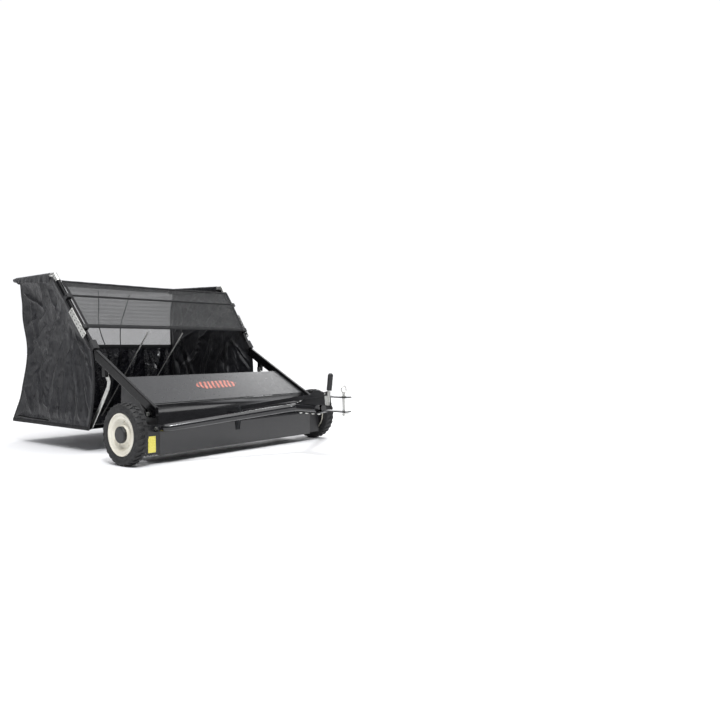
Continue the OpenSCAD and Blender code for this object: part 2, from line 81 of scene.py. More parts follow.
class Graph:
    """A short way to add nodes and links to one material."""

    def __init__(self, name):
        self.m = bpy.data.materials.new(name)
        self.m.use_nodes = True
        self.nt = self.m.node_tree
        self.shader = self.nt.nodes["Principled BSDF"]
        self.co = self.add("TexCoord").outputs["Object"]

    def add(self, kind, **values):
        n = self.nt.nodes.new("ShaderNode" + kind)
        for k, v in values.items():
            if hasattr(n, k):
                setattr(n, k, v)
            else:
                n.inputs[k.replace("_", " ")].default_value = v
        return n

    def link(self, a, b):
        self.nt.links.new(a, b)

    def math(self, op, a, b):
        n = self.add("Math", operation=op)
        for i, x in enumerate((a, b)):
            if isinstance(x, (int, float)):
                n.inputs[i].default_value = x
            else:
                self.link(x, n.inputs[i])
        return n.outputs[0]

    def noise(self, scale, detail=4, rough=0.6, co=None):
        n = self.add("TexNoise", Scale=scale, Detail=detail, Roughness=rough)
        self.link(co or self.co, n.inputs["Vector"])
        return n.outputs["Fac"]

    def wave(self, axis, period):
        """0 to 1 and back in every period, along one axis."""
        n = self.add("TexWave", bands_direction=axis, Scale=2 * math.pi / 20 / period)
        self.link(self.co, n.inputs["Vector"])
        return n.outputs["Fac"]

    def span(self, value, low, high, lo_in=0.3, hi_in=0.7):
        n = self.add("MapRange")
        for i, v in ((1, lo_in), (2, hi_in), (3, low), (4, high)):
            n.inputs[i].default_value = v
        self.link(value, n.inputs[0])
        return n.outputs[0]

    def mix(self, fac, a, b):
        n = self.add("Mix", data_type="RGBA")
        self.link(fac, n.inputs["Factor"])
        for name, v in (("A", a), ("B", b)):
            s = [i for i in n.inputs if i.name == name and i.type == "RGBA"][0]
            if isinstance(v, tuple):
                s.default_value = (*v, 1)
            else:
                self.link(v, s)
        return [o for o in n.outputs if o.type == "RGBA"][0]

    def bump(self, height, strength, distance, under=None):
        n = self.add("Bump", Strength=strength, Distance=distance)
        self.link(height, n.inputs["Height"])
        if under:
            self.link(under, n.inputs["Normal"])
        return n.outputs["Normal"]

    def set(self, **values):
        for k, v in values.items():
            s = self.shader.inputs[k.replace("_", " ")]
            if isinstance(v, bpy.types.NodeSocket):
                self.link(v, s)
            else:
                s.default_value = (*v, 1) if isinstance(v, tuple) else v


def coated(name, base, worn, rough, patch=9, metal=0.0, coat=0.0, peel=0.05, dust=None, **more):
    """Paint, plating or moulded plastic: a base colour that drifts to a worn one, uneven gloss and a fine skin."""
    g = Graph(name)
    drift = g.span(g.noise(patch, 5, 0.65), 0, 1, 0.42, 0.75)
    colour = g.mix(drift, base, worn)
    if dust:
        specks = g.span(g.noise(210, 3, 0.7), 0, 1, 0.62, 0.78)
        colour = g.mix(specks, colour, dust)
    fine = g.noise(55, 3)
    g.set(Base_Color=colour, Metallic=metal, Roughness=g.span(fine, rough * 0.8, min(rough * 1.25, 1)))
    g.set(Coat_Weight=coat, Coat_Roughness=0.07, **more)
    g.set(Normal=g.bump(g.noise(420, 2), peel, 0.0006, g.bump(g.noise(38, 2), peel * 1.5, 0.002)))
    return g.m


def woven(name, base, other, rough, period, axes="XYZ", holes=None, strength=0.35, crumple=0.5, **more):
    """Woven cloth: crossed threads, slubs, crumpled skin, and see-through gaps where it is a mesh."""
    g = Graph(name)
    threads = None
    for a in axes:
        w = g.wave(a, period)
        threads = w if threads is None else g.math("ADD", threads, w)
    slub = g.span(g.noise(260, 3, 0.7), 0, 1, 0.35, 0.7)
    cloudy = g.span(g.noise(7, 4), 0, 1, 0.35, 0.7)
    colour = g.mix(cloudy, g.mix(slub, base, other), other)
    g.set(Base_Color=colour, Roughness=g.span(g.noise(30, 3), rough * 0.85, min(1, rough * 1.15)), **more)
    warp = g.add("TexNoise", Scale=5.0, Detail=3.0)
    g.link(g.co, warp.inputs["Vector"])
    bent = g.add("VectorMath", operation="MULTIPLY_ADD")
    g.link(warp.outputs["Color"], bent.inputs[0])
    bent.inputs[1].default_value = (0.22, 0.22, 0.22)
    g.link(g.co, bent.inputs[2])
    cells = g.add("TexVoronoi", feature="DISTANCE_TO_EDGE", Scale=11.0)
    g.link(bent.outputs[0], cells.inputs["Vector"])
    ridge = g.span(cells.outputs["Distance"], 0, 1, 0.0, 0.28)
    creases = g.bump(ridge, crumple, 0.004, g.bump(g.noise(30, 5, 0.6), 0.4, 0.004))
    g.set(Normal=g.bump(threads, strength, period / 3, creases))
    if holes:
        gaps = g.math("MULTIPLY", g.wave(axes[0], period), g.wave(axes[1], period))
        g.set(Alpha=g.span(gaps, holes[0], holes[1], 0.05, 0.6))
    return g.m


M = {
    "panel": coated("housing_satin", (0.019, 0.020, 0.022), (0.030, 0.031, 0.034), 0.34, coat=0.1, peel=0.01),
    "gloss": coated("black_gloss_paint", (0.006, 0.006, 0.007), (0.011, 0.011, 0.012), 0.2, coat=0.35, peel=0.015),
    "cover": coated("cover_satin", (0.016, 0.0165, 0.018), (0.022, 0.0225, 0.024), 0.32, patch=5, peel=0.0),
    "plate": coated("plate_paint", (0.008, 0.008, 0.009), (0.014, 0.014, 0.015), 0.4, coat=0.1, peel=0.05),
    "tube": coated("frame_enamel", (0.0025, 0.0025, 0.003), (0.006, 0.006, 0.0065), 0.16, coat=0.08, peel=0.01,
                   Specular_IOR_Level=0.22),
    "zinc": coated("zinc_plate", (0.70, 0.70, 0.67), (0.50, 0.50, 0.48), 0.34, patch=60, metal=1.0, peel=0.12),
    "steel": coated("turned_steel", (0.50, 0.51, 0.53), (0.36, 0.36, 0.38), 0.36, patch=40, metal=1.0),
    "dark_steel": coated("oiled_steel", (0.10, 0.10, 0.11), (0.2, 0.19, 0.18), 0.45, patch=45, metal=1.0),
    "cast": coated("cast_iron", (0.16, 0.16, 0.17), (0.09, 0.085, 0.08), 0.6, patch=80, metal=0.9, peel=0.4),
    "rim": coated("rim_cream", (0.74, 0.71, 0.62), (0.62, 0.58, 0.48), 0.4, patch=16, coat=0.15,
                  dust=(0.34, 0.31, 0.26)),
    "plastic": coated("black_plastic", (0.010, 0.010, 0.011), (0.017, 0.017, 0.018), 0.48, patch=30, peel=0.2),
    "nylon": coated("white_nylon", (0.72, 0.72, 0.68), (0.6, 0.6, 0.55), 0.5, patch=30, peel=0.15),
    "rubber": coated("tyre_rubber", (0.010, 0.010, 0.011), (0.020, 0.0195, 0.019), 0.66, patch=22, peel=0.35,
                     dust=(0.05, 0.048, 0.045)),
    "grip": coated("grip_vinyl", (0.009, 0.009, 0.010), (0.014, 0.014, 0.015), 0.42, patch=60, peel=0.2),
    "cloth": woven("bag_cloth", (0.0035, 0.0036, 0.0050), (0.007, 0.0072, 0.0095), 0.34, 0.0024, crumple=0.6,
                   Specular_IOR_Level=0.5, Sheen_Weight=0.04, Sheen_Roughness=0.5),
    "lining": woven("coated_cloth", (0.004, 0.004, 0.006), (0.008, 0.008, 0.011), 0.27, 0.0024, strength=0.12,
                    crumple=1.0, Specular_IOR_Level=0.6, Coat_Weight=0.9, Coat_Roughness=0.14),
    "hem": woven("hem_tape", (0.005, 0.005, 0.006), (0.010, 0.010, 0.011), 0.6, 0.0016, crumple=0.1,
                 Specular_IOR_Level=0.3),
    "screen": woven("screen_mesh", (0.016, 0.0165, 0.017), (0.036, 0.037, 0.038), 0.5, 0.0032, "XZ", (0.85, 0.22),
                    crumple=0.25),
    "window": woven("window_mesh", (0.15, 0.148, 0.146), (0.24, 0.237, 0.235), 0.55, 0.0032, "XZ", (0.95, 0.36),
                    crumple=0.2),
}


def decal_material():
    """A worn print of slanted bars, half rubbed away."""
    g = Graph("decal_print")
    lean = g.add("Mapping")
    lean.inputs["Rotation"].default_value = (0, 0, math.radians(24))
    g.link(g.co, lean.inputs["Vector"])
    bars = g.add("TexWave", bands_direction="X", Scale=2 * math.pi / 20 / 0.026, Distortion=2.2)
    bars.inputs["Detail"].default_value = 3.0
    bars.inputs["Detail Scale"].default_value = 2.5
    g.link(lean.outputs["Vector"], bars.inputs["Vector"])
    worn = g.span(g.noise(95, 4, 0.7), 0, 1, 0.40, 0.62)
    red = g.mix(worn, (0.42, 0.055, 0.030), (0.62, 0.26, 0.20))
    printed = g.span(bars.outputs["Fac"], 0, 1, 0.42, 0.62)
    g.set(Base_Color=g.mix(printed, (0.075, 0.048, 0.046), red), Roughness=g.span(worn, 0.32, 0.5))
    g.set(Normal=g.bump(printed, 0.3, 0.0003))
    return g.m


def bristle_material():
    g = Graph("brush_fibre")
    strand = g.span(g.noise(900, 2), 0, 1, 0.35, 0.7)
    g.set(Base_Color=g.mix(strand, (0.012, 0.012, 0.012), (0.05, 0.048, 0.045)), Roughness=0.55)
    g.set(Normal=g.bump(g.noise(1400, 2), 0.3, 0.0004))
    return g.m


def reflector_material():
    g = Graph("reflector_yellow")
    cells = g.add("TexVoronoi", Scale=210.0)
    g.link(g.co, cells.inputs["Vector"])
    depth = g.span(cells.outputs["Distance"], 0, 1, 0.0, 0.6)
    g.set(Base_Color=g.mix(depth, (0.88, 0.80, 0.16), (0.72, 0.62, 0.07)), Roughness=0.22, Coat_Weight=0.8)
    g.set(Coat_Roughness=0.05, Normal=g.bump(depth, 0.5, 0.001))
    return g.m


M["red"] = decal_material()
M["bristle"] = bristle_material()
M["reflector"] = reflector_material()

# ---------------------------------------------------------------- meshes


def piece(name, verts, faces, body, finish, slot=None, smooth=True):
    mesh = bpy.data.meshes.new(name)
    mesh.from_pydata([tuple(v) for v in verts], [], faces)
    mesh.validate()
    mesh.update()
    mesh.polygons.foreach_set("use_smooth", [smooth] * len(mesh.polygons))
    mesh.materials.append(finish)
    o = bpy.data.objects.new(name, mesh)
    bpy.context.scene.collection.objects.link(o)
    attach(o, body)
    return o


def grid_faces(nu, nv, start=0, loop=False, flip=False):
    """Faces of a grid whose vertices run along v within each step of u."""
    out = []
    for i in range(nu if loop else nu - 1):
        for j in range(nv - 1):
            a, b = start + i * nv + j, start + (i + 1) % nu * nv + j
            q = (a, b, b + 1, a + 1)
            out.append(q[::-1] if flip else q)
    return out


def bevelled(o, width=0.0006, segments=2, angle=35):
    """Rounds the hard edges, so that they catch the light as pressed and welded metal does."""
    weld = o.modifiers.new("weld", "WELD")
    weld.merge_threshold = 0.00002
    b = o.modifiers.new("bevel", "BEVEL")
    b.width, b.segments, b.limit_method = width, segments, "ANGLE"
    b.angle_limit = math.radians(angle)
    b.harden_normals = True
    return o


def solid(o, thick, offset=0.0):
    s = o.modifiers.new("thick", "SOLIDIFY")
    s.thickness, s.offset = thick, offset
    return o


def rounded(points, radius, steps=8):
    """A polyline with each inner corner replaced by an arc of that radius."""
    out = [points[0]]
    for a, q, b in zip(points, points[1:], points[2:]):
        d, e = (q - a).normalized(), (b - q).normalized()
        turn = d.angle(e)
        if turn < 1e-3:
            out.append(q)
            continue
        back = radius * math.tan(turn / 2)
        start = q - d * back
        inward = (e - d * d.dot(e)).normalized()
        centre = start + inward * radius
        for k in range(steps + 1):
            t = turn * k / steps
            out.append(centre - inward * radius * math.cos(t) + d * radius * math.sin(t))
    return out + [points[-1]]


def spaced(points, step):
    """The same line with points about a step apart."""
    out = [points[0]]
    for a, b in zip(points, points[1:]):
        n = max(1, round((b - a).length / step))
        out += [a + (b - a) * k / n for k in range(1, n + 1)]
    return out


def tube_mesh(points, radius, sides=20, closed=False, squeeze=None):
    """Vertices and faces of a round tube along a line. radius is a number or a function of 0 to 1."""
    n = len(points)
    verts, faces = [], []
    tangent = [
        (points[(i + 1) % n if closed else min(i + 1, n - 1)] - points[i - 1 if closed else max(i - 1, 0)]).normalized()
        for i in range(n)
    ]
    side = tangent[0].orthogonal().normalized()
    for i, p in enumerate(points):
        t = tangent[i]
        side = (side - t * side.dot(t)).normalized()
        up = t.cross(side)
        r = radius(i / max(n - 1, 1)) if callable(radius) else radius
        for k in range(sides):
            a = 2 * math.pi * k / sides
            d = (side * math.cos(a) + up * math.sin(a)) * r
            verts.append(p + (squeeze(d, i / max(n - 1, 1)) if squeeze else d))
    for i in range(n if closed else n - 1):
        for k in range(sides):
            a, b = i * sides, (i + 1) % n * sides
            faces.append((a + k, a + (k + 1) % sides, b + (k + 1) % sides, b + k))
    if not closed:
        faces.append(tuple(range(sides))[::-1])
        faces.append(tuple((n - 1) * sides + k for k in range(sides)))
    return verts, faces


def join(parts):
    """One list of vertices and faces out of several."""
    verts, faces = [], []
    for v, f in parts:
        faces += [tuple(len(verts) + i for i in q) for q in f]
        verts += v
    return verts, faces


def lathe_mesh(profile, centre_y, centre_z, segs=96, closed=True):
    """Profile of (x, radius) in metres, turned about an axis along X."""
    n = len(profile)
    verts = [
        Vector((x, centre_y + r * math.cos(2 * math.pi * i / segs), centre_z + r * math.sin(2 * math.pi * i / segs)))
        for i in range(segs)
        for x, r in profile
    ]
    faces = []
    for i in range(segs):
        for j in range(n if closed else n - 1):
            a, b = i * n, (i + 1) % segs * n
            faces.append((a + j, a + (j + 1) % n, b + (j + 1) % n, b + j))
    return verts, faces


def arc(cx, cy, r, a0, a1, n):
    angles = [math.radians(a0 + (a1 - a0) * k / n) for k in range(n + 1)]
    return [(cx + r * math.cos(a), cy + r * math.sin(a)) for a in angles]


# ---------------------------------------------------------------- carried-over nodes

FINISH = {
    "housing_shell": "gloss", "top_cover": "cover", "cover_decal": "red", "left_end_plate": "plate",
    "right_end_plate": "plate", "side_reflector": "reflector", "left_axle": "steel", "right_axle": "steel",
    "left_dust_cover": "plate", "right_dust_cover": "plate", "left_bearing": "cast", "right_bearing": "cast",
    "left_tyre": "rubber", "right_tyre": "rubber", "left_rim": "rim", "right_rim": "rim",
    "left_ring_gear": "plastic", "right_ring_gear": "plastic", "left_hub_cap": "plate",
    "right_hub_cap": "plate", "left_bushing": "nylon", "right_bushing": "nylon", "left_pinion": "dark_steel",
    "right_pinion": "dark_steel", "brush_shaft": "steel", "ratchet_pins": "steel", "brush_hubs": "plate",
    "brush_channels": "plate", "bristles": "bristle", "left_arm": "tube", "right_arm": "tube",
    "left_side_tube": "tube", "right_side_tube": "tube", "left_joint_plate": "zinc", "right_joint_plate": "zinc",
    "tube_clamps": "plastic", "top_elbows": "zinc", "left_top_tube": "tube", "right_top_tube": "tube",
    "rear_top_tube": "tube", "bottom_frame": "tube", "support_straps": "zinc", "support_rods": "zinc",
    "windscreen_rods": "tube", "windscreen": "screen", "rear_mesh": "window", "bag": "cloth",
    "left_tongue_tube": "gloss", "right_tongue_tube": "gloss", "tongue_brackets": "panel", "tongue_bolts": "zinc",
    "hitch_upper_strap": "plate", "hitch_lower_strap": "plate", "hitch_bolts": "zinc", "quadrant": "plate",
    "height_lever": "zinc", "lever_grip": "grip", "adjuster_strap": "plate", "hitch_pin": "zinc",
    "hair_pin": "zinc",
}
ROUNDED = {
    "top_cover": 0.0008, "left_end_plate": 0.0007, "right_end_plate": 0.0007, "left_arm": 0.005, "right_arm": 0.005,
    "left_joint_plate": 0.0006, "right_joint_plate": 0.0006, "tube_clamps": 0.0015, "support_straps": 0.0008,
    "tongue_brackets": 0.0007, "tongue_bolts": 0.0007, "hitch_upper_strap": 0.0008, "hitch_lower_strap": 0.0008,
    "hitch_bolts": 0.0007, "quadrant": 0.0006, "height_lever": 0.0006, "adjuster_strap": 0.0006,
    "side_reflector": 0.0004, "brush_channels": 0.0006, "housing_shell": 0.0004,
}
for name, finish in FINISH.items():
    o = NODES[name]
    o.data.materials.clear()
    o.data.materials.append(M[finish])
    if name in ROUNDED:
        bevelled(o, ROUNDED[name])

# ---------------------------------------------------------------- wheels
WHEEL_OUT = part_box("left_tyre")[1][0]
WHEEL_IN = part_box("left_tyre")[0][0]
WHEEL_R = (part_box("left_tyre")[1][2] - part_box("left_tyre")[0][2]) / 2
TYRE_MID = (WHEEL_OUT + WHEEL_IN) / 2


def tyre_mesh(sign):
    """Carcass with rounded shoulders and side ribs, and two staggered rows of angled lugs."""
    half, crown, bead = (WHEEL_OUT - WHEEL_IN) / 2, WHEEL_R - 0.0055, 0.1052
    prof = [(-half + 0.006, bead)]
    prof += [(-half + 0.0012, bead + 0.004), (-half, bead + 0.010), (-half + 0.0002, bead + 0.018)]
    prof += [(-half + 0.0002, bead + 0.0195), (-half + 0.0016, bead + 0.0205), (-half + 0.0016, bead + 0.0225)]
    prof += [(x, y) for x, y in arc(-half + 0.0120, crown - 0.0114, 0.0112, 178, 96, 7)]
    prof += [(-half * 0.25, crown + 0.0004), (0.0, crown + 0.0006)]
    prof += [(-x, y) for x, y in prof[-2::-1]]
    prof += [(half - 0.012, bead - 0.0002), (-half + 0.012, bead - 0.0002)]
    carcass = lathe_mesh([(sign * (TYRE_MID + x), r) for x, r in prof], AXLE_Y, AXLE_Z, 120)
    if sign < 0:
        carcass = (carcass[0], [f[::-1] for f in carcass[1]])
    parts = [carcass]
    count = 30

    def lug(angle, x0, x1, lean, wide):
        """One lug from x0 to x1 across the tread, leaning round the tyre by lean radians."""
        verts, nx = [], 5
        for i in range(nx + 1):
            s = i / nx
            x = x0 + (x1 - x0) * s
            drop = max(0.0, (abs(x) - (half - 0.013)) / 0.013)
            low = crown - 0.004 - 0.009 * drop**2
            top = WHEEL_R - 0.0002 - 0.0105 * drop**2
            c = angle + lean * s
            w = wide * (1 - 0.12 * s)
            for r, ww in ((low, w * 1.12), (top - 0.0009, w), (top, w * 0.86)):
                verts.append((x, r, c - ww))
            for r, ww in ((top, w * 0.86), (top - 0.0009, w), (low, w * 1.12)):
                verts.append((x, r, c + ww))
        pts = [
            Vector((sign * (TYRE_MID + x), AXLE_Y + r * math.cos(t), AXLE_Z + r * math.sin(t))) for x, r, t in verts
        ]
        faces = []
        for i in range(nx):
            for k in range(6):
                a, b = i * 6 + k, i * 6 + (k + 1) % 6
                faces.append((a, b, b + 6, a + 6))
        faces.append((5, 4, 3, 2, 1, 0))
        faces.append(tuple(nx * 6 + k for k in range(6)))
        return pts, faces

    for i in range(count):
        a = 2 * math.pi * i / count
        parts.append(lug(a, -0.002, -half + 0.0015, 0.045, 0.052))
        parts.append(lug(a + math.pi / count, 0.002, half - 0.0015, 0.045, 0.052))
        parts.append(lug(a + 0.045, -0.006, 0.006, 0.012, 0.018))
    return join(parts)


def rim_mesh(sign):
    """Pressed rim: a dished disc with a raised ring, a rolled lip and the barrel inside the tyre."""
    out = WHEEL_OUT - TYRE_MID
    prof = [(-out + 0.006, 0.1048), (-out + 0.004, 0.1035), (-out + 0.004, 0.099), (-out + 0.010, 0.0982)]
    prof += [(out - 0.036, 0.0982), (out - 0.034, 0.080), (out - 0.032, 0.070), (out - 0.030, 0.060)]
    prof += [(out - 0.030, 0.050), (out - 0.024, 0.045), (out - 0.016, 0.042), (out - 0.0155, 0.020)]
    prof += [(out - 0.0125, 0.020), (out - 0.0125, 0.0405), (out - 0.0150, 0.0445), (out - 0.0220, 0.0480)]
    prof += [(out - 0.0255, 0.0510), (out - 0.0262, 0.0560), (out - 0.0262, 0.0660), (out - 0.0245, 0.0705)]
    prof += [(out - 0.0130, 0.0762), (out - 0.0095, 0.0790), (out - 0.0085, 0.0830), (out - 0.0090, 0.0930)]
    prof += [(out - 0.0075, 0.0970), (out - 0.0045, 0.0990), (out - 0.0032, 0.1010), (out - 0.0030, 0.1035)]
    prof += [(out - 0.0048, 0.1052)]
    v, f = lathe_mesh([(sign * (TYRE_MID + x), r) for x, r in prof], AXLE_Y, AXLE_Z, 96)
    return (v, f if sign > 0 else [q[::-1] for q in f])


# A rivet's outline as (height, radius)
RIVET = [(0.0005, 0.0062), (0.0030, 0.0060), (0.0044, 0.0046), (0.0050, 0.002)]
for side, sign in (("left", 1), ("right", -1)):
    body = side + "_wheel"
    t = piece(side + "_tyre_tread", *tyre_mesh(sign), body, M["rubber"], "tyre")
    t.data.set_sharp_from_angle(angle=math.radians(38))
    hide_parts(side + "_tyre")
    r = piece(side + "_rim_disc", *rim_mesh(sign), body, M["rim"], "rim_paint")
    r.data.set_sharp_from_angle(angle=math.radians(50))
    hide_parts(side + "_rim")
    ribs = []
    for k in range(5):
        a = 2 * math.pi * k / 5 + 0.3
        c = Vector((sign * (WHEEL_OUT - 0.0268), AXLE_Y + 0.0605 * math.cos(a), AXLE_Z + 0.0605 * math.sin(a)))
        head = [(sign * x, rr) for x, rr in RIVET]
        ring = []
        for i in range(12):
            b = 2 * math.pi * i / 12
            ring += [c + Vector((x, rr * math.cos(b), rr * math.sin(b))) for x, rr in head]
        faces = grid_faces(12, 4, loop=True, flip=sign > 0)
        faces.append(tuple(i * 4 + 3 for i in range(12))[:: -1 if sign < 0 else 1])
        ribs.append((ring, faces))
    piece(side + "_rim_rivets", *join(ribs), body, M["rim"], "rim_paint")

# ---------------------------------------------------------------- brush


def tuft_mesh():
    parts_v, parts_f = [], []
    rows = 6
    lo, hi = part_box("bristles")
    z_mid = (lo[2] + hi[2]) / 2
    reach, root = (hi[2] - lo[2]) / 2, 0.037
    x0, x1 = lo[0] + 0.004, hi[0] - 0.004
    tufts = 84
    for r in range(rows):
        base = 2 * math.pi * r / rows
        radial = Vector((0, -math.sin(base), math.cos(base)))
        across = Vector((0, math.cos(base), math.sin(base)))
        for t in range(tufts):
            x = x0 + (x1 - x0) * (t + 0.5) / tufts
            for _ in range(9):
                ox, oy = RNG.uniform(-0.0042, 0.0042), RNG.uniform(-0.0032, 0.0032)
                lean_x, lean_y = RNG.uniform(-0.006, 0.006), RNG.uniform(-0.0035, 0.0035) + ox * 0.2
                end = reach - RNG.uniform(0.0012, 0.006)
                start = len(parts_v)
                for s in (0.0, 0.5, 1.0):
                    c = Vector((x + ox + lean_x * s * s, BRUSH_Y, z_mid)) + across * (oy + lean_y * s * s)
                    c += radial * (root + (end - root) * s)
                    w = 0.00105 - 0.0004 * s
                    for a in (0, 2.094, 4.189):
                        parts_v.append(c + Vector((w * math.cos(a), 0, 0)) + across * w * math.sin(a))
                for s in (0, 3):
                    for q in range(3):
                        a, b = start + s + q, start + s + (q + 1) % 3
                        parts_f.append((a, b, b + 3, a + 3))
                parts_f.append((start + 6, start + 7, start + 8))
    return parts_v, parts_f


brush = piece("brush_tufts", *tuft_mesh(), "brush", M["bristle"], "bristle")
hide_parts("bristles")

# ---------------------------------------------------------------- hopper cloth
BEND, TOP = (432.0, 548.0), (760.0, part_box("left_top_tube")[1][2] * 1000 - 12.5)
TILT = math.atan2(TOP[1] - BEND[1], TOP[0] - BEND[0])
TUBE_R = 12.5
# The rear top tube stops against the side tubes, and the top tubes come in a little at their rear ends
REAR_GAP, TOP_TUBE_IN = 4.0, 6.0
TUBE_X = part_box("rear_top_tube")[1][0] * 1000 + TUBE_R + REAR_GAP
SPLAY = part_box("top_elbows")[1][0] * 1000 - 15.1 - TUBE_X
WALL_X = TUBE_X + 13.8
FLOOR_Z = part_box("bag")[0][2] * 1000 + 3
REAR_Y = (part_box("bag")[1][1] - AXLE_Y) * 1000 - 3
FRONT_Y = 487.0
TOP_Z = TOP[1]
PANEL_Z = 958.0
MESH_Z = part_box("rear_mesh")[0][2] * 1000 - 1


def smooth_between(points, t):
    for (a, va), (b, vb) in zip(points, points[1:]):
        if t <= b:
            s = max(0, (t - a)) / (b - a)
            return va + (vb - va) * (3 * s * s - 2 * s**3)
    return points[-1][1]


def curve(points, t):
    """A smooth curve through (key, value) points."""
    i = 0
    while i < len(points) - 2 and t > points[i + 1][0]:
        i += 1
    (a, va), (b, vb) = points[i], points[i + 1]
    before, after = points[max(i - 1, 0)], points[min(i + 2, len(points) - 1)]
    m0 = (vb - before[1]) / (b - before[0]) * (b - a)
    m1 = (after[1] - va) / (after[0] - a) * (b - a)
    s = min(1.0, max(0.0, (t - a) / (b - a)))
    start = (2 * s**3 - 3 * s * s + 1) * va + (s**3 - 2 * s * s + s) * m0
    return start + (3 * s * s - 2 * s**3) * vb + (s**3 - s * s) * m1


def on_side(s, out=0.0):
    """Lengthways place and height on the inclined tubes, out is towards the front of their plane."""
    return (
        BEND[0] + (TOP[0] - BEND[0]) * s - math.sin(TILT) * out,
        BEND[1] + (TOP[1] - BEND[1]) * s + math.cos(TILT) * out,
    )


def lean_out(y, z):
    """The frame is wider at its front top corners, so the cloth leans out above a line to the rear corner."""
    dy, dz = REAR_Y - 8 - 462, TOP_Z + 16 - 556
    far = (dy * (TOP_Z - 556) - dz * (TOP[0] - 462)) / math.hypot(dy, dz)
    d = (dy * (z - 556) - dz * (y - 462)) / math.hypot(dy, dz)
    return SPLAY * (d + math.hypot(d, 18)) / 2 / far


def front_edge(z):
    if z > 556:
        return BEND[0] + (z - BEND[1]) * (TOP[0] - BEND[0]) / (TOP[1] - BEND[1]) + 9
    s = (z - FLOOR_Z) / (556 - FLOOR_Z)
    return FRONT_Y + (447 - FRONT_Y) * s - 34 * math.sin(math.pi * s) ** 0.9


NEAR_EDGE = [
    (FLOOR_Z, REAR_Y - 2), (146, 1291), (225, 1252), (299, 1222), (456, 1186), (583, 1182), (739, 1212), (860, 1210),
    (PANEL_Z, 1203), (TOP_Z, 1240), (TOP_Z + 14, 1275),
]


def rear_edge(z, sign):
    """The back corner has no upright, so the cloth is pulled in between the floor and the top tube."""
    y = curve(NEAR_EDGE, z)
    return y if sign < 0 else y + (REAR_Y - y) * 0.5


def rear_in(z):
    """How far the back corner is pulled in towards the middle."""
    return smooth_between([(FLOOR_Z, 0), (300, 14), (560, 30), (800, 20), (TOP_Z, 0)], z)


# Creases: ends as (lengthways, height) in millimetres, depth and width. Most of them run from where the cloth is tied.
CREASES = [
    ((652, 609), (655, 453), 7, 9), ((655, 453), (588, 196), 9, 10), ((605, 570), (550, 404), 7, 9),
    ((550, 404), (484, 240), 8, 10), ((501, 596), (380, 459), 6, 8), ((797, 716), (925, 617), 8, 9),
    ((925, 617), (940, 542), 7, 9), ((940, 542), (1020, 445), 8, 10), ((1020, 445), (1043, 320), 6, 10),
    ((746, 762), (861, 637), 7, 9), ((976, 692), (1126, 583), 7, 9), ((1175, 885), (987, 802), 7, 9),
    ((932, 956), (974, 788), 6, 9), ((676, 636), (752, 451), 7, 10), ((752, 451), (768, 198), 8, 11),
    ((799, 583), (865, 381), 7, 10), ((865, 381), (894, 184), 7, 11), ((997, 302), (945, 229), 6, 8),
    ((582, 596), (459, 394), 7, 9), ((459, 394), (427, 300), 6, 9), ((630, 640), (470, 470), 6, 8),
    ((700, 690), (700, 520), -7, 12), ((700, 520), (655, 190), -8, 14), ((625, 600), (520, 210), -7, 12),
    ((840, 640), (940, 330), -7, 14), ((1130, 840), (1060, 560), 6, 12), ((1060, 560), (1110, 280), -7, 14),
    ((1190, 690), (1080, 740), 5, 9), ((1175, 500), (1060, 640), 6, 9), ((1200, 330), (1120, 200), 6, 10),
    ((860, 900), (820, 760), 5, 9), ((1050, 930), (1100, 760), -5, 11), ((900, 830), (1040, 720), 5, 8),
    ((720, 800), (800, 700), 5, 8), ((780, 870), (900, 700), -5, 11), ((560, 560), (420, 400), -5, 9),
    ((1000, 560), (1130, 420), -5, 10), ((830, 330), (800, 180), 5, 10), ((1010, 230), (1080, 420), 5, 9),
]


def crease_height(y, z, creases):
    """Height of the folds at arrays of places."""
    h = np.zeros_like(y)
    for (ya, za), (yb, zb), depth, width in creases:
        dy, dz = yb - ya, zb - za
        ll = dy * dy + dz * dz
        t = ((y - ya) * dy + (z - za) * dz) / ll
        d = ((y - ya) * dz - (z - za) * dy) / math.sqrt(ll)
        d = d + 7 * np.sin(t * 5 + ya) * np.sin(np.clip(t, 0, 1) * math.pi)
        fade = np.clip(np.minimum(t + 0.18, 1.18 - t) / 0.36, 0, 1)
        ridge = np.exp(-(np.sqrt(d * d + 3) - 1.7) / (0.85 * width))
        h += depth * ridge * fade * fade * (3 - 2 * fade)
    return h


def ripple(p, scale, seed):
    """Smooth noise from -1 to 1."""
    return noise.fractal(Vector((p[0] / scale, p[1] / scale, seed)), 1.0, 2.0, 4) * 1.2


def ripples(y, z, scale, seed):
    flat = [ripple((a, b), scale, seed) for a, b in zip(y.ravel(), z.ravel())]
    return np.array(flat).reshape(y.shape)


def step(a):
    a = np.clip(a, 0, 1)
    return a * a * (3 - 2 * a)


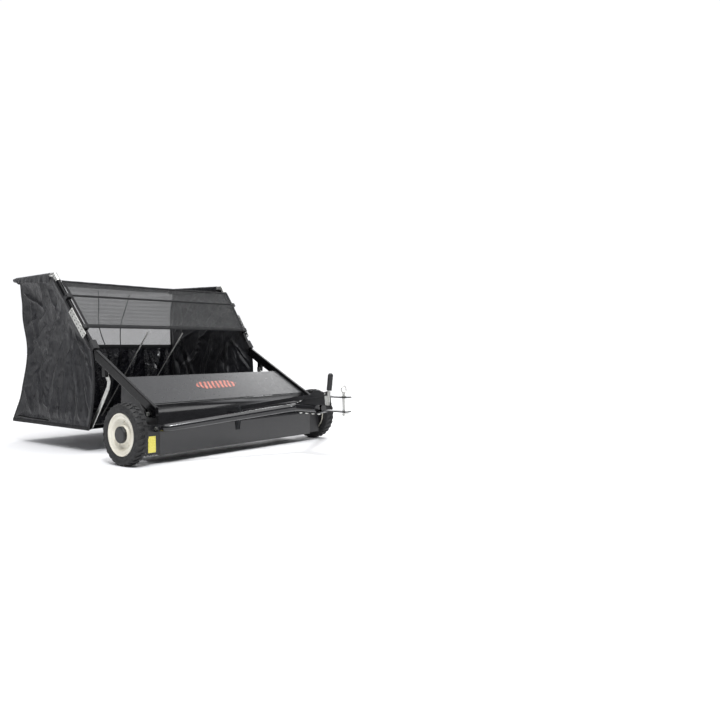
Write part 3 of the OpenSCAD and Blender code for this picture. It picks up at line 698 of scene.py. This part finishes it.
def side_cloth(side, sign):
    seed = 3.0 if sign < 0 else 9.0
    creases = CREASES if sign < 0 else [
        ((a[0] * 0.97 + 20, a[1] - 12), (b[0] * 1.02 - 15, b[1] + 8), -d * 1.2, w * 1.1) for a, b, d, w in CREASES
    ] + [
        ((1230, 560), (1130, 300), 14, 12), ((1205, 520), (1060, 220), -14, 13), ((1250, 420), (1180, 190), 12, 11),
        ((1120, 560), (1020, 200), 13, 14), ((1060, 540), (900, 230), -12, 15), ((1160, 470), (1120, 330), 10, 9),
    ]
    nu, nv = 250, 230
    u = np.linspace(0, 1, nu + 1)[:, None] * np.ones((1, nv + 1))
    heights = np.linspace(FLOOR_Z, PANEL_Z + 4, nv + 1)
    z = np.ones((nu + 1, 1)) * heights[None, :]
    front = np.array([front_edge(a) for a in heights])[None, :]
    rear = np.array([rear_edge(a, sign) for a in heights])[None, :]
    inn = np.array([rear_in(a) for a in heights])[None, :]
    y = front + (rear - front) * u
    edge = step(np.minimum(np.minimum((y - front) / 70, (z - FLOOR_Z) / 50), (TOP_Z - z) / 45))
    held = step((rear - y) / 60)
    slack = 20 * np.sin(math.pi * (z - FLOOR_Z) / (TOP_Z - FLOOR_Z)) * np.sin(math.pi * np.minimum(1, u * 0.8))
    depth = 2.0 if sign < 0 else 1.3
    folds = depth * crease_height(y, z, creases)
    folds = folds + 4 * ripples(y, z, 150, seed) + 2.0 * ripples(y, z * 0.6, 45, seed + 4)
    rim = np.clip(1 - (rear - y) / 40, 0, 1) * 5 * ripples(z, y * 0, 60, seed + 6)
    lean = np.array([[lean_out(b, a) for a, b in zip(heights, row)] for row in y])
    x = WALL_X + lean - edge * held * (slack + 7 - folds) - inn * u**2.2
    x = np.minimum(x, WALL_X + lean + 2.5)
    y = y + rim * 0.6
    verts = [at(sign * x[i, j], y[i, j], z[i, j]) for i in range(nu + 1) for j in range(nv + 1)]
    o = piece(side + "_bag_side", verts, grid_faces(nu + 1, nv + 1, flip=sign > 0), "hopper", M["cloth"], "bag_cloth")
    return solid(o, 0.0011)


def side_sleeve(side, sign):
    """The cloth folded round the top tube, with a skirt outside that narrows to a point at the rear."""
    seed = 7.0 if sign < 0 else 13.0
    verts, nu, ring = [], 90, 24
    y0, y1 = TOP[0] + 40, REAR_Y - 4
    for i in range(nu + 1):
        u = i / nu
        y = y0 + (y1 - y0) * u
        axis = TUBE_X - TOP_TUBE_IN + (SPLAY + TOP_TUBE_IN) * (1 - (y - TOP[0]) / (REAR_Y - TOP[0]))
        skirt = (44 - 30 * u) * (1 + 0.12 * ripple((y, 0), 60, seed)) * min(1.0, (1 - u) / 0.12 + 0.25)
        taper = min(1.0, (1 - u) / 0.10 + 0.55)
        flare = 3 + 5 * ripple((y, 5), 45, seed + 1)
        for k in range(ring):
            if k < 8:
                f = 1 - k / 8
                x, z = 14.2 + f * flare, -skirt * f
            elif k < 18:
                a = math.pi * (k - 8) / 10
                x, z = 14.2 * math.cos(a), 14.2 * math.sin(a)
            else:
                x, z = -14.2 + (k - 18) * 0.8, -(k - 18) * 5.0
            bump = 0.7 * ripple((y, k * 9.0), 26, seed + 3)
            verts.append(at(sign * (axis + (x + (bump if x > 0 else 0)) * taper), y, TOP_Z + z * taper + max(0, bump)))
    o = piece(side + "_top_sleeve", verts, grid_faces(nu + 1, ring, flip=sign > 0), "hopper", M["cloth"], "bag_cloth")
    return solid(o, 0.0011)


def floor_point(u, v):
    """u across from -1 to 1, v from the front to the back."""
    x = WALL_X * u
    y = FRONT_Y + (REAR_Y - FRONT_Y) * v
    frame_z = FLOOR_Z + 3 + 13 * v
    belly = (1 - u**4) * math.sin(math.pi * v) ** 0.7
    ribs = math.exp(-(((abs(x) - 68) / 60) ** 2)) * 4
    z = frame_z - 15 * belly + ribs * belly + 2.2 * belly * ripple((x, y), 120, 21) + belly * ripple((x, y), 40, 25)
    edge = abs(u) ** 30
    return x, y, z * (1 - edge) + FLOOR_Z * edge if edge > 0.5 else z


def floor_cloth():
    nu, nv, verts = 120, 90, []
    for i in range(nu + 1):
        u = -1 + 2 * i / nu
        for j in range(nv + 1):
            x, y, z = floor_point(u, j / nv)
            side = max(0.0, (abs(u) - 0.96) / 0.04)
            z = z + (FLOOR_Z - z) * side * side
            verts.append(at(x, y, z))
    o = piece("bag_floor", verts, grid_faces(nu + 1, nv + 1), "hopper", M["lining"], "bag_cloth")
    return solid(o, 0.0012)


BACK_CREASES = [
    ((-420, 540), (-300, 180), 11, 18), ((-180, 560), (-240, 170), -12, 16), ((-60, 550), (20, 170), 12, 18),
    ((120, 560), (60, 180), -12, 15), ((190, 560), (290, 170), 14, 16), ((260, 550), (220, 200), -12, 12),
    ((330, 560), (400, 180), 24, 16), ((450, 550), (380, 200), -24, 15), ((500, 540), (520, 200), 24, 12),
    ((-520, 540), (-470, 200), -9, 16), ((-350, 400), (-100, 220), 8, 18), ((80, 420), (330, 300), 9, 13),
    ((300, 480), (480, 360), -11, 12), ((-560, 300), (-380, 500), 7, 18), ((360, 540), (430, 420), 10, 9),
    ((430, 420), (350, 300), 10, 10), ((470, 330), (540, 240), 9, 10),
]


def back_point(x, z):
    """The back cloth hangs from the top tube, is pulled in at its corners and bellies out at the bottom."""
    s = min(1.0, abs(x) / (WALL_X - rear_in(z)))
    corner = rear_edge(z, -1 if x < 0 else 1)
    middle = REAR_Y - smooth_between([(FLOOR_Z, 0), (300, 30), (560, 46), (800, 36), (TOP_Z, 14)], z)
    return middle + (corner - middle) * s**3.0


def back_y(x, z):
    """Lengthways places of the back cloth at arrays of x and z."""
    base = np.array([back_point(a, b) for a, b in zip(x.ravel(), z.ravel())]).reshape(x.shape)
    fade = step(np.minimum(np.minimum((z - FLOOR_Z) / 60, (TOP_Z - z) / 60), (WALL_X - np.abs(x)) / 40))
    body = np.clip((MESH_Z + 60 - z) / 120, 0, 1)
    folds = body * (crease_height(x, z, BACK_CREASES) + 4 * ripples(x, z, 130, 31))
    return base + fade * (folds - 4 * body + 2.0 * ripples(x, z, 200, 37))


def back_grid(nu, nv, z0, z1):
    u = np.linspace(-1, 1, nu + 1)[:, None] * np.ones((1, nv + 1))
    z = np.ones((nu + 1, 1)) * np.linspace(z0, z1, nv + 1)[None, :]
    inn = np.array([WALL_X - rear_in(a) for a in z[0]])[None, :]
    x = u * inn
    return x, back_y(x, z), z


def back_cloth():
    nu, nv = 260, 110
    x, y, z = back_grid(nu, nv, FLOOR_Z, MESH_Z + 14)
    verts = [at(x[i, j], y[i, j], z[i, j]) for i in range(nu + 1) for j in range(nv + 1)]
    o = piece("bag_back", verts, grid_faces(nu + 1, nv + 1, flip=True), "hopper", M["lining"], "bag_cloth")
    return solid(o, 0.0011)


def rear_window():
    nu, nv = 120, 50
    x, y, z = back_grid(nu, nv, MESH_Z, TOP_Z + 2)
    top = np.clip((z - (TOP_Z - 30)) / 30, 0, 1)
    y = np.minimum(y - 0.6, REAR_Y - 10) * (1 - top) + (REAR_Y - 24) * top
    verts = [at(x[i, j], y[i, j], z[i, j]) for i in range(nu + 1) for j in range(nv + 1)]
    return piece("rear_window_mesh", verts, grid_faces(nu + 1, nv + 1, flip=True), "hopper", M["window"], "window_mesh")


def strip(name, line, width_dir, width, body, finish, slot, thick=0.0022):
    """A folded tape along a line: flat, slightly padded, with its two rows of stitching as grooves."""
    cross = [(-1, 0.0), (-0.92, 0.8), (-0.78, 1.0), (-0.70, 0.62), (-0.62, 1.0), (0.0, 1.15), (0.62, 1.0), (0.70, 0.62),
             (0.78, 1.0), (0.92, 0.8), (1, 0.0), (0.92, -0.8), (0.5, -1.0), (-0.5, -1.0), (-0.92, -0.8)]
    verts = []
    n = len(line)
    for i, p in enumerate(line):
        t = (line[min(i + 1, n - 1)] - line[max(i - 1, 0)]).normalized()
        w = width_dir(i / (n - 1)) if callable(width_dir) else width_dir
        w = (w - t * w.dot(t)).normalized()
        up = t.cross(w)
        verts += [p + w * (a * width / 2) + up * (b * thick / 2) for a, b in cross]
    k = len(cross)
    faces = []
    for i in range(n - 1):
        for j in range(k):
            a, b = i * k, (i + 1) * k
            faces.append((a + j, b + j, b + (j + 1) % k, a + (j + 1) % k))
    faces.append(tuple(range(k)))
    faces.append(tuple((n - 1) * k + j for j in range(k))[::-1])
    return piece(name, verts, faces, body, finish, slot)


sides = {s: side_cloth(s, k) for s, k in (("left", 1), ("right", -1))}
sleeves = {s: side_sleeve(s, k) for s, k in (("left", 1), ("right", -1))}
bag_floor, bag_back, window = floor_cloth(), back_cloth(), rear_window()


def along_back(points, out=0.0):
    """Points on the back cloth, given as (x, z)."""
    x, z = np.array([p[0] for p in points], float), np.array([p[1] for p in points], float)
    return [at(a, b + out, c) for a, b, c in zip(x, back_y(x, z), z)]


def bend_line(points, n):
    """A smooth run of n + 1 points through a few (x, z) points, from the top down."""
    keys = [(-b, a) for a, b in points]
    lo, hi = keys[0][0], keys[-1][0]
    return [(curve(keys, lo + (hi - lo) * k / n), -(lo + (hi - lo) * k / n)) for k in range(n + 1)]


tapes = []
for side, sign in (("left", 1), ("right", -1)):
    zs = [FLOOR_Z + (PANEL_Z - 4 - FLOOR_Z) * k / 70 for k in range(71)]
    rear = [at(sign * (WALL_X - rear_in(z) - 1), rear_edge(z, sign) + 1, z) for z in zs]
    across = Vector((-sign * 0.7, -0.7, 0))
    tapes.append(strip(side + "_rear_seam", rear, across, 0.010, "hopper", M["hem"], "bag_cloth", 0.004))
    front = [at(sign * (WALL_X + 0.6 + lean_out(front_edge(z), z)), front_edge(z) + 5, z) for z in zs if z < 950]
    tapes.append(strip(side + "_front_hem", front, Vector((0, 1, 0.2)), 0.018, "hopper", M["hem"], "bag_cloth", 0.003))
    low = [at(sign * (WALL_X + 0.6), FRONT_Y + (REAR_Y - FRONT_Y) * k / 40, FLOOR_Z + 5) for k in range(41)]
    tapes.append(strip(side + "_floor_seam", low, Vector((0, 0, 1)), 0.02, "hopper", M["hem"], "bag_cloth", 0.004))
low = [at(WALL_X * (-1 + k / 30), REAR_Y + 0.8, FLOOR_Z + 5) for k in range(61)]
tapes.append(strip("rear_floor_seam", low, Vector((0, 0, 1)), 0.02, "hopper", M["hem"], "bag_cloth", 0.004))
band = along_back([((WALL_X - rear_in(MESH_Z)) * (-1 + k / 40), MESH_Z + 6) for k in range(81)], -1.6)
tapes.append(strip("window_band", band, Vector((0, 0, 1)), 0.026, "hopper", M["hem"], "bag_cloth", 0.0035))
for name, points in (
    ("right_window_seam", [(-9, 945), (-18, 710), (52, 481), (60, 380)]),
    ("left_window_seam", [(228, 930), (149, 729), (135, 542), (140, 420)]),
):
    line = along_back(bend_line(points, 50), -2.5)
    tapes.append(strip(name, line, Vector((1, 0, 0)), 0.006, "hopper", M["hem"], "bag_cloth", 0.003))


def rear_sleeve():
    """Cloth sleeve sewn round the rear top tube, with the mesh hanging from it."""
    lo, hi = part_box("rear_top_tube")
    cy, cz = (lo[1] + hi[1]) / 2, (lo[2] + hi[2]) / 2
    verts, nu, ring = [], 120, 22
    for i in range(nu + 1):
        x = lo[0] + (hi[0] - lo[0]) * i / nu
        wob = 1 + 0.10 * ripple((x * 1000, 0), 70, 51) + 0.05 * ripple((x * 1000, 4), 22, 53)
        for k in range(ring):
            a = 2 * math.pi * k / (ring - 1)
            r = 0.0128 * max(wob, 0.96) + (0.004 if k in (0, ring - 1) else 0)
            verts.append(Vector((x, cy + r * math.sin(a), cz - r * math.cos(a))))
    o = piece("rear_top_sleeve", verts, grid_faces(nu + 1, ring), "hopper", M["cloth"], "bag_cloth")
    return solid(o, 0.001)


sleeve = rear_sleeve()


# ---------------------------------------------------------------- windscreen
WS_LOW, WS_HIGH, WS_TOP, WS_OUT = 0.29, 0.69, 0.88, 24.0


def ws_point(u, s, out=0.0):
    y, z = on_side(s, out)
    return at((TUBE_X - 5 + SPLAY * s) * u, y, z)


def windscreen():
    nu, nv, verts = 140, 60, []
    for i in range(nu + 1):
        u = -1 + 2 * i / nu
        for j in range(nv + 1):
            v = j / nv
            s = WS_LOW - 0.012 + (WS_TOP - WS_LOW + 0.012) * v
            span = (s - WS_LOW) / (WS_HIGH - WS_LOW) if s < WS_HIGH else (s - WS_HIGH) / (WS_TOP - WS_HIGH)
            sag = math.sin(math.pi * max(0, min(1, span))) * (1 - abs(u) ** 3)
            out = WS_OUT - 5 * sag + 1.6 * ripple((u * 545, v * 300), 120, 61) * sag
            if s > WS_HIGH:
                out -= 8 * (s - WS_HIGH) / (WS_TOP - WS_HIGH) * (1 - 0.5 * abs(u))
            verts.append(ws_point(u, s, out + 0.6))
    return piece("windscreen_mesh", verts, grid_faces(nu + 1, nv + 1), "hopper", M["screen"], "screen_mesh")


screen = windscreen()
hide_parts("windscreen")
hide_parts("rear_mesh")
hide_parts("bag")
UP = Vector((0, math.cos(TILT), math.sin(TILT)))
for name, s, wide in (("lower", WS_LOW, 0.026), ("upper", WS_HIGH, 0.010), ("top", WS_TOP, 0.014)):
    low = 8 * (s > WS_HIGH)
    line = [
        ws_point(u, s, WS_OUT + 0.8 - low * (1 - 0.5 * abs(u)) + 0.5 * math.sin(u * 36))
        for u in (-1.005 + 2.01 * k / 80 for k in range(81))
    ]
    strip(f"windscreen_{name}_hem", line, UP, wide, "hopper", M["hem"], "screen_mesh", 0.003)
for side, sign in (("left", 1), ("right", -1)):
    line = []
    for k in range(41):
        s = WS_LOW + (WS_TOP - WS_LOW) * k / 40
        line.append(ws_point(sign * 0.992, s, WS_OUT + 0.9 - 4 * max(0, s - WS_HIGH) / (WS_TOP - WS_HIGH)))
    across = Vector((1, 0, 0))
    strip(f"windscreen_{side}_hem", line, across, 0.016, "hopper", M["hem"], "screen_mesh", 0.0026)


# ---------------------------------------------------------------- tongue


def tongue(sign):
    """Round tube, squashed flat at its bolted end and bent in beside the other one at the hitch."""
    tip = at(sign * 576, -118, 181)
    line = [tip + Vector((0, 0.012, 0)), at(sign * 576, -165, 184), at(sign * 24, -500, 266), at(sign * 24, -655, 266)]
    line = spaced(rounded(line, 0.055, 12), 0.012)

    def squeeze(d, t):
        flat = max(0.0, 1 - t / 0.085)
        flat = min(1.0, flat * 1.3)
        return Vector((d.x * (1 - 0.5 * flat), d.y, d.z * (1 - 0.25 * flat)))

    v, f = tube_mesh(line, 0.019, 28, squeeze=squeeze)
    return v, f


for side, sign in (("left", 1), ("right", -1)):
    o = piece(side + "_tongue_pipe", *tongue(sign), "tongue", M["gloss"], "frame_paint")
    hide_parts(side + "_tongue_tube")
    o.data.set_sharp_from_angle(angle=math.radians(60))


# ---------------------------------------------------------------- camera, light and floor
camera = bpy.data.cameras.new("camera")
camera.lens, camera.sensor_width = 36.15, 36
eye = bpy.data.objects.new("camera", camera)
eye.location = (-2.744, -3.266, 0.588)
eye.rotation_euler = (math.radians(88.75), 0, math.radians(-52.25))
bpy.context.scene.collection.objects.link(eye)
bpy.context.scene.camera = eye

floor = Graph("pale_floor")
floor.set(Base_Color=floor.mix(floor.noise(2, 2), (0.90, 0.90, 0.91), (0.93, 0.93, 0.94)), Roughness=0.75)


def area_light(name, place, target, size, power, colour=(1, 1, 1)):
    light = bpy.data.lights.new(name, "AREA")
    light.shape, light.size, light.size_y, light.energy, light.color = "RECTANGLE", size[0], size[1], power, colour
    o = bpy.data.objects.new(name, light)
    o.location = place
    o.rotation_euler = (Vector(target) - Vector(place)).to_track_quat("-Z", "Y").to_euler()
    bpy.context.scene.collection.objects.link(o)
    return o


mesh = bpy.data.meshes.new("floor")
mesh.from_pydata([(-40, -40, 0), (40, -40, 0), (40, 40, 0), (-40, 40, 0)], [], [(0, 1, 2, 3)])
mesh.materials.append(floor.m)
ground = bpy.data.objects.new("floor", mesh)
bpy.context.scene.collection.objects.link(ground)
ground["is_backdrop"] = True

sun = bpy.data.lights.new("skylight", "SUN")
sun.energy, sun.angle = 3.0, math.radians(75)
sky = bpy.data.objects.new("skylight", sun)
sky.rotation_euler = (math.radians(12), math.radians(-6), 0)
bpy.context.scene.collection.objects.link(sky)
area_light("key", (-1.7, -1.9, 2.7), (-0.5, 0.5, 0.5), (0.4, 0.4), 55, (0.95, 0.97, 1.0))
area_light("far", (2.3, 1.3, 1.5), (0.4, -0.1, 0.45), (1.4, 1.4), 20).visible_camera = False
area_light("strip", (-3.9, 1.2, 1.5), (-0.5, 0.6, 0.5), (0.25, 1.4), 8, (0.9, 0.94, 1.0))
# The room is white behind the machine and darker on the photographer's side
world = bpy.data.worlds.new("studio")
world.use_nodes = True
nt = world.node_tree
place = nt.nodes.new("ShaderNodeTexCoord")
facing = nt.nodes.new("ShaderNodeVectorMath")
facing.operation = "DOT_PRODUCT"
facing.inputs[1].default_value = (0.79, 0.61, 0.0)
level = nt.nodes.new("ShaderNodeMapRange")
level.interpolation_type = "SMOOTHSTEP"
for name, v in (("From Min", 0.30), ("From Max", 0.74), ("To Min", 0.13), ("To Max", 1.05)):
    level.inputs[name].default_value = v
nt.links.new(place.outputs["Generated"], facing.inputs[0])
nt.links.new(facing.outputs["Value"], level.inputs["Value"])
nt.links.new(level.outputs["Result"], nt.nodes["Background"].inputs["Strength"])
nt.nodes["Background"].inputs["Color"].default_value = (0.97, 0.975, 1.0, 1)
bpy.context.scene.world = world
bpy.context.scene.view_settings.view_transform = "Standard"

low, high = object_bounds()
